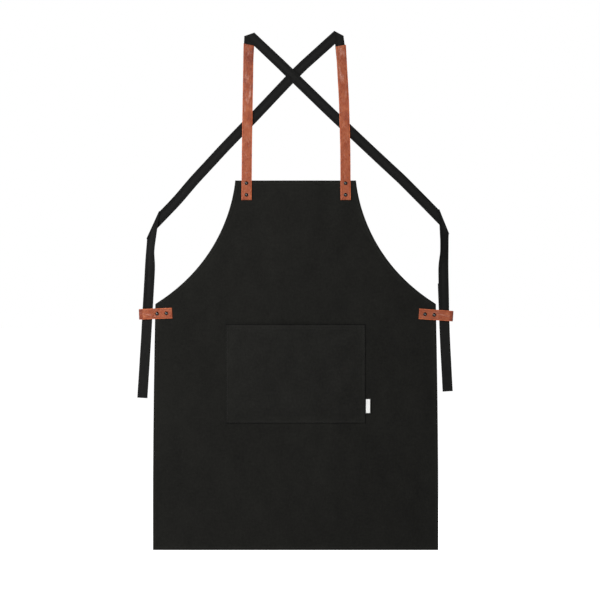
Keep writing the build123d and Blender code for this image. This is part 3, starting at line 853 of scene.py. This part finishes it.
def pocket_faces(x, z):
    """Front and back depths of the pocket cloth, with its turned-in sides, stitch line and mouth
    hem, and the distance to its nearest edge."""
    edge = pocket_edge(x, z)
    mouth = POCKET_HI.z - z
    nearest = np.minimum(edge, mouth)
    rounding = np.maximum(round_edge(nearest, 1.0 * MM), CLOTH_THINNEST)
    turned = step(6.8 * MM, 5.2 * MM, edge) * 0.5 * MM
    hem = step(POCKET_HEM + 0.7 * MM, POCKET_HEM - 0.7 * MM, mouth)
    groove = 0.22 * MM * peak(edge, POCKET_STITCH, 0.5 * MM)
    groove += 0.2 * MM * peak(mouth, POCKET_HEM_STITCH, 0.5 * MM)
    pucker = 0.16 * MM * wobble(x, z, 0.011, 1.3) * step(12 * MM, 3 * MM, nearest)
    thick = POCKET_CLOTH + turned + hem * 0.5 * MM
    middle = pocket_depth(x, z) - thick / 2
    front = middle - thick / 2 * rounding + groove * rounding + pucker
    back = middle + thick / 2 * rounding + hem * 0.3 * MM * step(5 * MM, 12 * MM, edge)
    return front, back, nearest


def place_on_pocket(piece, slot, stands_for=()):
    """Place a pocket piece between the skirt and pocket bodies, about the pocket's middle height; place
    only bakes its transform.
    """
    middle_z = (POCKET_LO.z + POCKET_HI.z) / 2
    place(piece, slot, ("skirt", "pocket"), middle_z, POCKET_HI.z - middle_z, stands_for)


def build_pocket():
    """The pocket's front, its seam and the stitches of its mouth hem."""
    x, z = pocket_grid()
    front_y, back_y, edge = pocket_faces(x, z)
    piece = sheet("pocket_front", x, z, edge, front_y, back_y, POCKET_LOOK)
    place_on_pocket(piece, "black_canvas", ("pocket_panel",))

    side, low = POCKET_HALF - POCKET_STITCH, POCKET_LO.z + POCKET_STITCH
    top, hem_z = POCKET_HI.z - 1 * MM, POCKET_HI.z - POCKET_HEM_STITCH
    seam = [(-side, top), (-side, low), (side, low), (side, top)]
    lines = (("pocket_seam_stitches", seam, ("pocket_thread",)),
             ("pocket_hem_stitches", [(-side, hem_z), (side, hem_z)], ()))
    for name, points, nodes in lines:
        x, z = densify(np.array(points), 2 * MM).T
        path = np.stack([x, pocket_faces(x, z)[0] - 0.1 * MM, z], 1)
        place_on_pocket(stitch_mesh(name, path, -DEPTH, BLACK_THREAD), "canvas_thread", nodes)


def densify(points, spacing):
    """A polyline with extra points, so that none is further than spacing from the next."""
    out = [points[0]]
    for a, b in zip(points[:-1], points[1:]):
        count = max(int(np.linalg.norm(b - a) / spacing), 1)
        out += [a + (b - a) * k / count for k in range(1, count + 1)]
    return np.array(out)


# ---- label ----
def build_label():
    """A blank woven tape, folded double, standing out of the pocket's right seam."""
    lo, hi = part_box("pocket_label")
    root = JOINTS["label_flip"][0]
    tall, wide = hi.z - lo.z, hi.x - root
    z_rows, x_cols = lo.z + np.linspace(0, 1, 26) * tall, root + np.linspace(0, 1, 18) * wide
    z, x = np.meshgrid(z_rows, x_cols, indexing="ij")
    out = (x - root) / wide
    curl = -0.9 * MM * out**2 + 0.25 * MM * np.sin(z / tall * 2 * math.pi) * out
    middle = (lo.y + hi.y) / 2 + curl
    edge = np.minimum(np.minimum(z - lo.z, hi.z - z), hi.x - x)
    half = 0.42 * MM * np.maximum(round_edge(edge, 0.5 * MM), 0.25)
    piece = sheet("pocket_flag_label", x, z, edge, middle - half, middle + half, label_material())
    place(piece, "white_label", "label", stands_for=("pocket_label",))


# ---- straps ----
def ribbon(name, rows, profile, material, part=slice(None)):
    """A closed strap through rows of (centre, half width, thickness direction), with a profile of
    (share of half width, height) points round its section. part keeps only some of the rows."""
    centre, half, normal = rows[:, 0], rows[:, 1], rows[:, 2]
    shares, heights = profile[:, 0], profile[:, 1]
    size = np.ones(len(rows))
    size[:3] = ROUNDED_END
    size[-3:] = ROUNDED_END[::-1]
    verts = centre[:, None] + half[:, None] * shares[None, :, None]
    verts = verts + normal[:, None] * (heights[None, :] * size[:, None])[:, :, None]
    run = np.gradient(centre, axis=0)
    widths = np.linalg.norm(np.cross(half, run), axis=1)
    widths /= np.maximum(np.linalg.norm(run, axis=1), 1e-9)
    coords = np.full(verts.shape, widths.max())
    coords[:, :, 0] *= shares[None, :]
    coords[:, :, 1] = run_along(centre)[:, None]
    wrapped = np.concatenate([verts[:, -1:], verts, verts[:, :1]], 1)
    shading = -grid_normals(wrapped)[:, 1:-1]
    verts, coords = verts[part], coords[part]
    faces = tube_faces(*verts.shape[:2])
    attributes = {"strap": coords.reshape(-1, 3)}
    piece = new_object(name, verts.reshape(-1, 3), faces, material, attributes)
    if part != slice(None):
        keep_normals(piece, shading[part])
    return piece


def flat_profile(thick, points, relief):
    """Closed section of a strap: two faces with rounded edges. relief(share) dents both faces."""
    inner = np.linspace(-0.955, 0.955, points)
    height = np.array([thick / 2 - relief(abs(s)) for s in inner])
    edge_share = np.array([0.982, 0.996, 0.996, 0.982])
    edge_height = np.array([0.40, 0.2, -0.2, -0.40]) * thick
    upper = np.stack([inner, height], 1)
    right = np.stack([edge_share, edge_height], 1)
    lower = np.stack([inner[::-1], -height[::-1]], 1)
    left = np.stack([-edge_share, -edge_height], 1)
    return np.concatenate([upper, right, lower, left])


def web_relief(share):
    """Woven tape is a little thinner along its selvedge."""
    return 0.10 * MM * float(step(0.84, 0.95, share))


def leather_relief(share):
    """A pressed line near each edge, and edges that fall away."""
    return peak(share, 0.815, 0.03) * 0.28 * MM + 0.22 * MM * float(step(0.88, 0.96, share))


ROUNDED_END = (0.35, 0.8, 0.96)
WEB_PROFILE = flat_profile(WEB_THICK, 15, web_relief)
LEATHER_PROFILE = flat_profile(LEATHER_THICK, 33, leather_relief)
LOOP_PROFILE = flat_profile(LOOP_LEATHER, 33, leather_relief)


def resample(points, spacing, tips=True):
    """Points at even spacing along a path, with three close rows at each end if it has tips."""
    run = run_along(points[:, :3])
    close = np.array([0, 0.2, 0.6]) * MM if tips else np.array([0.0])
    first = 1.4 * MM if tips else spacing
    middle = np.linspace(first, run[-1] - first, max(int(run[-1] / spacing), 3))
    at = np.concatenate([close, middle, run[-1] - close[::-1]])
    return np.stack([np.interp(at, run, points[:, k]) for k in range(3)], 1)


def strap_rows(path, width, turns, facing=1):
    """Rows (centre, half width, thickness direction) along a path, with a turn at each point."""
    run = unit(np.gradient(path, axis=0) * [1, 0, 1])
    across = np.stack([-run[:, 2], np.zeros(len(run)), run[:, 0]], 1)
    cos, sin = np.cos(turns)[:, None], np.sin(turns)[:, None]
    half = (across * cos + DEPTH * sin) * (facing * width / 2)
    return np.stack([path, half, (DEPTH * cos - across * sin) * facing], 1)


def fan_rows(first, last, count):
    """Rows between two rows whose edges run straight from one to the other. Both are left out."""
    share = np.linspace(0, 1, count + 2)[1:-1, None, None]
    rows = first[None] * (1 - share) + last[None] * share
    rows[:, 2] = unit(rows[:, 2])
    return rows


def bend_rows(crease, to_y, away):
    """Rows that turn over a crease, from the crease row's own depth to another depth."""
    centre, half, normal = crease
    middle_y = (centre[1] + to_y) / 2
    radius = abs(to_y - centre[1]) / 2
    hand = math.copysign(1, centre[1] - middle_y)
    rows = []
    for angle in np.linspace(0, math.pi, 11):
        out = away * math.sin(angle) + DEPTH * hand * math.cos(angle)
        middle = np.array([centre[0], middle_y, centre[2]]) + out * radius
        rows.append((middle, half, out * hand * normal[1]))
    return np.array(rows)


def read_strap(nodes, heights):
    """A strap's middle line, from level cuts through its CAD lengths."""
    cuts = Cuts(*nodes)
    middles = [(cuts.middle(z), z) for z in heights]
    return np.array([(*middle, z) for middle, z in middles if middle is not None])


def liven(path, seed):
    """Small waves along a path and in its turn, which keep a strap from looking ruled."""
    run = run_along(path)
    fade = step(0, 0.04, run) * step(0, 0.04, run[-1] - run)
    path = path.copy()
    path[:, 0] += 0.45 * MM * wobble(run, seed, 0.09, seed) * fade
    path[:, 1] += 0.30 * MM * wobble(run, 0, 0.05, seed + 7) * fade
    return path, math.radians(2.5) * wobble(run, seed + 4, 0.07, seed + 2) * fade


def rolled(path, turns, keep):
    """The path moved so that a turned strap's edge on the keep side stays where it was."""
    return path + np.array(keep)[None] * (WEB_HALF * (1 - np.cos(turns)))[:, None]


def top_corners(node):
    """The outer, highest and inner corners of a strap's slanting top end."""
    co = node_points(node)
    high = co[co[:, 2] > co[:, 2].max() - 20 * MM]
    sideways = np.abs(high[:, 0])
    picked = high[[sideways.argmax(), high[:, 2].argmax(), sideways.argmin()]]
    return picked * [1, 0, 1]


def across_rows(side, other, crease, start_y, fold):
    """Webbing from its top crease across the back to the start of its fold beside the body."""
    upper, middle = f"{side}_webbing_upper", f"{other}_webbing_middle"
    low_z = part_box(upper)[0].z
    below_sewn_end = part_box(f"{side}_strap_upper")[1].z - SEWN_CLEAR
    path = read_strap([upper], np.arange(below_sewn_end, low_z, -6 * MM))
    fold_high = fold[0][2] + abs(fold[1][2]) + 8 * MM
    beside = read_strap([middle], np.arange(low_z - 2 * MM, fold_high, -6 * MM))
    path = np.concatenate([path, beside])
    path, turns = liven(smooth(resample(path, 4 * MM, False), 2.0), SEEDS[side])
    if side == "left":
        gone = np.linalg.norm(path - crease[0], axis=1)
        turns = turns + TURN_ACROSS * step(110 * MM, 15 * MM, gone)
        path = rolled(path, turns, (0.68, 0, 0.73))
    rows = strap_rows(path, 2 * WEB_HALF, turns, -1)
    top, arriving = crease.copy(), fold.copy()
    top[0, 1] = start_y
    top[2] = arriving[2] = -DEPTH
    return np.concatenate([fan_rows(top, rows[0], 9), rows, fan_rows(rows[-1], arriving, 12)])


def fold_row(other):
    """The crease of the flat fold beside the body, where the two straight runs meet, with the
    direction in which the webbing would have gone on and the depth in which it leaves."""
    node = f"{other}_webbing_middle"
    lo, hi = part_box(node)
    cuts = Cuts(node)
    heights = np.arange(lo.z + 2 * MM, hi.z - 2 * MM, MM)
    doubled = [z for z in heights if np.ptp(cuts.at(z)[:, 1]) > 1.5 * WEB_THICK]
    over = read_strap([node], (doubled[-1] + 18 * MM, doubled[-1] + 3 * MM))
    under = read_strap([node], (doubled[0] - 3 * MM, doubled[0] - 30 * MM))
    arriving, leaving = unit(over[1] - over[0]), unit(under[1] - under[0])
    flat = np.array([[arriving[0], -leaving[0]], [arriving[2], -leaving[2]]])
    distance = np.linalg.solve(flat, (under[0] - over[0])[[0, 2]])[0]
    meeting = over[0] + arriving * distance
    along = unit(arriving + leaving)
    onward = unit(arriving - along * (arriving @ along))
    half = along * WEB_HALF / (arriving @ onward)
    half *= -math.copysign(1, half @ np.array([-arriving[2], 0, arriving[0]]))
    return np.array([meeting, half, -DEPTH]), onward, under[0][1]


def beside_rows(other, fold, under_y):
    """Webbing from its fold down to the inside of the side loop, easing out of its turn."""
    nodes = [f"{other}_webbing_middle", f"{other}_webbing_lower"]
    top_z = fold[0][2] - abs(fold[1][2]) - 16 * MM
    path = read_strap(nodes, np.arange(top_z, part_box(nodes[1])[0].z, -5 * MM))
    path, turns = liven(smooth(resample(path, 4 * MM), 3.0), SEEDS[other] + 1)
    hand = -1 if other == "left" else 1
    above_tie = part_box(f"{other}_tie")[1].z + TIE_CLEAR
    turns = turns + hand * TURN_BESIDE * step(above_tie, above_tie + TURN_EASE, path[:, 2])
    path = rolled(path, turns, (hand, 0, 0))
    rows = strap_rows(path, 2 * WEB_HALF, turns)
    leaving = fold.copy()
    leaving[0, 1] = under_y
    leaving[2] = DEPTH
    return np.concatenate([fan_rows(leaving, rows[0], 12), rows])


def webbing_rows(side, other):
    """A whole webbing: sewn behind one leather strap, folded at its top, across the back, folded
    flat beside the body and down into the side loop."""
    leather = f"{side}_strap_upper"
    stub_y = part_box(leather)[1].y + WEB_THICK / 2
    outer, highest, _ = top_corners(f"{side}_webbing_upper")
    middle, half = (outer + highest) / 2, (outer - highest) / 2
    half = half * math.copysign(1, -half[0])
    middle[1] = stub_y
    crease = np.array([middle, half, DEPTH])
    foot_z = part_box(leather)[1].z - SEWN_TIP
    foot_x = Cuts(leather).middle(foot_z)[0]
    foot = np.array([(foot_x, stub_y, foot_z), (-WEB_HALF, 0, 0), DEPTH])
    away = unit(np.array([-half[2], 0, half[0]]))
    away *= math.copysign(1, away[2])
    start_y = stub_y + (-WEB_GAP if side == "left" else WEB_GAP)
    fold, onward, under_y = fold_row(other)
    tip = fan_rows(foot, crease, 150)[:3]
    return np.concatenate([
        foot[None], tip, fan_rows(tip[-1], crease, 16), bend_rows(crease, start_y, away),
        across_rows(side, other, crease, start_y, fold), bend_rows(fold, under_y, onward),
        beside_rows(other, fold, under_y),
    ])


# Half the webbing's width, from a level cut through a nearly upright length.
WEB_HALF = Cuts("right_tie").width(sum(corner.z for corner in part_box("right_tie")) / 2) / 2


def build_webbing():
    """Each webbing in three pieces: across the back, down the side, and the sliding tie."""
    for side, other in (("left", "right"), ("right", "left")):
        rows = webbing_rows(side, other)
        cut = int(np.argmax(rows[:, 0, 2] < BIB_FOLD_Z + SIDE_START))
        upper, lower = slice(None, cut + 1), slice(cut, None)
        piece = ribbon(f"{side}_cross_webbing", rows, WEB_PROFILE, WEBBING, upper)
        nodes = (f"{side}_webbing_upper", f"{other}_webbing_middle")
        place(piece, "black_webbing", *STRAP_FOLD, nodes)
        piece = ribbon(f"{other}_side_webbing", rows, WEB_PROFILE, WEBBING, lower)
        place(piece, "black_webbing", *CANVAS_FOLDS["upper"], (f"{other}_webbing_lower",))
        build_tie(other)


def build_tie(side):
    """The end that slides through the loop and hangs, with its end turned up and sewn."""
    nodes = [f"{side}_tie", f"{side}_tie_tail"]
    tail = f"{side}_tail"
    top_z, end_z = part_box(nodes[0])[1].z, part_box(nodes[1])[0].z
    path = read_strap(nodes, np.arange(top_z - 1 * MM, end_z, -4 * MM))
    path = smooth(resample(path, 3 * MM), 4.0)
    hinge = JOINTS[f"{side}_tail_swing"][2]
    hang = step(hinge + 10 * MM, hinge - 30 * MM, path[:, 2])
    seed = SEEDS[side] + 3
    turns = math.radians(7) * wobble(path[:, 2], 0, 0.06, seed) * hang
    path[:, 1] += 0.9 * MM * wobble(path[:, 2], 0, 0.05, seed + 1) * hang
    rows = strap_rows(path, 2 * WEB_HALF, turns)
    piece = ribbon(f"{side}_tie_webbing", rows, WEB_PROFILE, WEBBING)
    place(piece, "black_webbing", (f"{side}_tie", tail), hinge, -TAIL_BEND_REACH, nodes)

    centre, half, normal = rows[int(np.argmin(np.abs(path[:, 2] - (end_z + TURNED_SEAM))))]
    front = centre - normal * (WEB_THICK / 2 + 0.1 * MM)
    turned = rows[path[:, 2] < end_z + TURNED_END]
    turned[:, 0] += turned[:, 2] * WEB_THICK * 0.98
    turned[:, 1] *= 0.99
    place(ribbon(f"{side}_tie_turned_end", turned, WEB_PROFILE, WEBBING), "black_webbing", tail)
    line = densify(np.array([front - half * 0.86, front + half * 0.86]), 2 * MM)
    seam = stitch_mesh(f"{side}_tie_stitches", line, -normal, BLACK_THREAD)
    place(seam, "canvas_thread", tail)


def build_leather_straps():
    """The two leather shoulder straps, from their riveted ends over the bib's top edge."""
    for side in ("left", "right"):
        nodes = [f"{side}_strap_base", f"{side}_strap_upper"]
        low_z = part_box(nodes[0])[0].z
        outer, _, inner = top_corners(nodes[1])
        left, right = (outer, inner) if side == "left" else (inner, outer)
        high_z = min(left[2], right[2]) - 12 * MM
        path = read_strap(nodes, np.arange(low_z + 0.5 * MM, high_z, 5 * MM))
        path = smooth(resample(path, 3 * MM), 3.0)[:-2]
        run = path[:, 2] - low_z
        seed = SEEDS[side]
        free = step(0.06, 0.12, run) * step(0, 0.04, run[-1] - run)
        path[:, 1] += 0.4 * MM * wobble(run, 0, 0.05, seed) * free
        turns = math.radians(2.2) * wobble(run, 0, 0.08, seed + 2) * free
        rows = strap_rows(path, Cuts(*nodes).width(low_z + 20 * MM), turns)
        end = np.array([(left + right) / 2 + DEPTH * path[-1, 1], (left - right) / 2, rows[-1, 2]])
        tip = fan_rows(rows[-1], end, 90)[-2:]
        rows = np.concatenate([rows, fan_rows(rows[-1], end, 6), tip, end[None]])
        piece = ribbon(f"{side}_leather_strap", rows, LEATHER_PROFILE, STRAP_LEATHER[side])
        place(piece, "tan_leather", *STRAP_FOLD, nodes)


def build_strap_stitches():
    """The box of stitches where each webbing is sewn behind its leather."""
    for side in ("left", "right"):
        lo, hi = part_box(f"{side}_strap_thread")
        cuts = Cuts(f"{side}_strap_upper")
        pad = 1.2 * MM
        low, top = lo.z + pad, hi.z - pad
        low_x, top_x = cuts.middle(low)[0], cuts.middle(top - 2 * MM)[0]
        reach = (hi.x - lo.x) / 2 - pad
        corners = [(low_x - reach, low), (low_x + reach, low), (top_x + reach, top), (top_x - reach, top)]
        x, z = densify(np.array(corners + corners[:1]), 1.5 * MM).T
        front_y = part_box(f"{side}_strap_upper")[0].y - 0.02 * MM
        path = np.stack([x, np.full(len(x), front_y), z], 1)
        piece = stitch_mesh(f"{side}_strap_stitches", path, -DEPTH, TAN_THREAD)
        place(piece, "leather_thread", "harness", stands_for=(f"{side}_strap_thread",))


# ---- side loops ----
def loop_tilt(hand):
    """The tilt of the loop on one side, from the line through its two rivets."""
    co = node_points("loop_rivet_caps")
    mine = co[co[:, 0] * hand > 0]
    is_outer = np.abs(mine[:, 0]) >= abs(np.median(mine[:, 0]))
    inner, outer = mine[~is_outer].mean(0), mine[is_outer].mean(0)
    return math.atan2(outer[2] - inner[2], abs(outer[0] - inner[0]))


def loop_path(lo, hi, inner, tip):
    """The middle line of a loop's leather, seen from above: two legs and the bend between them."""
    edge = half_width(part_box("skirt_panel")[0].z + LOOP_HEIGHT_ON_SKIRT)
    leather = LOOP_LEATHER
    front, back = lo.y + leather / 2, hi.y - leather / 2
    leg_front, leg_back = -1.2 * MM - leather / 2, leather / 2
    bend, middle_y = (back - front) / 2, (front + back) / 2
    bend_x = tip - bend - leather / 2
    leg_x, eye_x = edge + LEG_END, edge + EYE_START
    points = [(inner, leg_front), (leg_x, leg_front), (eye_x, front), (bend_x, front)]
    points += [(bend_x + bend * math.sin(a), middle_y - bend * math.cos(a))
               for a in np.linspace(0, math.pi, 13)[1:-1]]
    points += [(bend_x, back), (eye_x, back), (leg_x, leg_back), (inner, leg_back)]
    path = np.array([(x, y, 0) for x, y in points])
    return smooth(resample(path, 0.8 * MM), 1.6)


def build_loops():
    """Each side loop: a strip of leather folded round the webbing, its two legs riveted together."""
    for side, hand in (("left", -1), ("right", 1)):
        lo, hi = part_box(f"{side}_side_loop")
        inner, tip = sorted((abs(lo.x), abs(hi.x)))
        tilt = loop_tilt(hand)
        height = (hi.z - lo.z) - math.sin(abs(tilt)) * (tip - inner)
        fine = loop_path(lo, hi, inner, tip)
        run = unit(np.gradient(fine, axis=0))
        outward = np.stack([run[:, 1], -run[:, 0], np.zeros(len(run))], 1)
        crease = 0.12 * MM * wobble(fine[:, 0], 0, 0.012, SEEDS[side])
        fine = fine + outward * (crease * step(inner, inner + 12 * MM, fine[:, 0]))[:, None]
        pivot = np.array([(inner + tip) / 2, 0, 0])
        half = np.tile([0, 0, hand * height / 2], (len(fine), 1))
        cos, sin = math.cos(tilt), math.sin(tilt)
        turn = np.array([[hand * cos, 0, sin], [0, 1, 0], [-hand * sin, 0, cos]])
        rows = np.stack([fine - pivot, half, outward], 1) @ turn
        rows[:, 0] += pivot * hand + [0, 0, (lo.z + hi.z) / 2]
        bend = run_along(fine)[-1] / 2
        looks = leather_material(f"{side}_loop_leather", bend - 12 * MM, bend=bend)
        piece = ribbon(f"{side}_leather_loop", rows, LOOP_PROFILE, looks)
        place(piece, "tan_leather", "skirt", stands_for=(f"{side}_side_loop",))


# ---- rivets ----
def finish_rivets():
    """The rivets keep their CAD shape and get a plated finish."""
    plated = gunmetal_material()
    for name in ("strap_rivet_caps", "strap_rivet_backs", "loop_rivet_caps", "loop_rivet_backs"):
        rivet = frame["nodes"][name]
        rivet.data.materials.clear()
        rivet.data.materials.append(plated)


# ---- studio ----
def build_floor():
    """A wide pale floor under the hanging apron."""
    mesh = bpy.data.meshes.new("studio_floor")
    corners = [(x * FLOOR_HALF, y * FLOOR_HALF, FLOOR_Z) for x, y in ((-1, -1), (1, -1), (1, 1), (-1, 1))]
    mesh.from_pydata(corners, [], [[0, 1, 2, 3]])
    mesh.materials.append(floor_material())
    show("studio_floor", mesh)


def area_light(name, at, size, power):
    """A soft square lamp aimed at the apron's middle."""
    lamp = bpy.data.lights.new(name, "AREA")
    lamp.shape = "SQUARE"
    lamp.size = size
    lamp.energy = power
    obj = show(name, lamp)
    obj.location = at
    obj.rotation_euler = (Vector(LAMP_TARGET) - Vector(at)).to_track_quat("-Z", "Y").to_euler()


def build_light():
    """A white world for the camera, gentler for the lighting, and three large lamps."""
    n = Nodes(bpy.data.worlds.new("studio_world"))
    bpy.context.scene.world = n.owner
    white = (1, 1, 1, 1)
    lit = n.tree.nodes["Background"]
    n.set(lit.inputs["Color"], white)
    n.set(lit.inputs["Strength"], WORLD_LIGHT)
    seen = n.add("Background", {"Color": white, "Strength": 1.0}).outputs[0]
    from_camera = n.add("LightPath", {}).outputs["Is Camera Ray"]
    mix = n.add("MixShader", {0: from_camera, 1: lit.outputs[0], 2: seen}).outputs[0]
    n.set(n.tree.nodes["World Output"].inputs[0], mix)
    area_light("key_lamp", (-1.6, -1.9, 1.9), 0.8, 84)
    area_light("fill_lamp", (2.4, -2.6, 1.0), 2.0, 12)
    area_light("back_lamp", (0.8, 2.8, 2.0), 2.0, 34)


def build_camera():
    """Straight on to the front, from far enough away to look flat."""
    camera = bpy.data.cameras.new("camera")
    camera.sensor_width = SENSOR_WIDTH
    camera.lens = SENSOR_WIDTH * CAMERA_DISTANCE / VIEW_WIDTH
    obj = show("camera", camera)
    obj.location = (CAMERA_X, -CAMERA_DISTANCE, CAMERA_Z)
    obj.rotation_euler = (math.radians(90), 0, 0)
    bpy.context.scene.camera = obj


build_body()
build_hem_stitches()
build_pocket()
build_label()
build_webbing()
build_leather_straps()
build_strap_stitches()
build_loops()
finish_rivets()
build_floor()
build_light()
build_camera()
bpy.context.scene.view_settings.view_transform = "Standard"
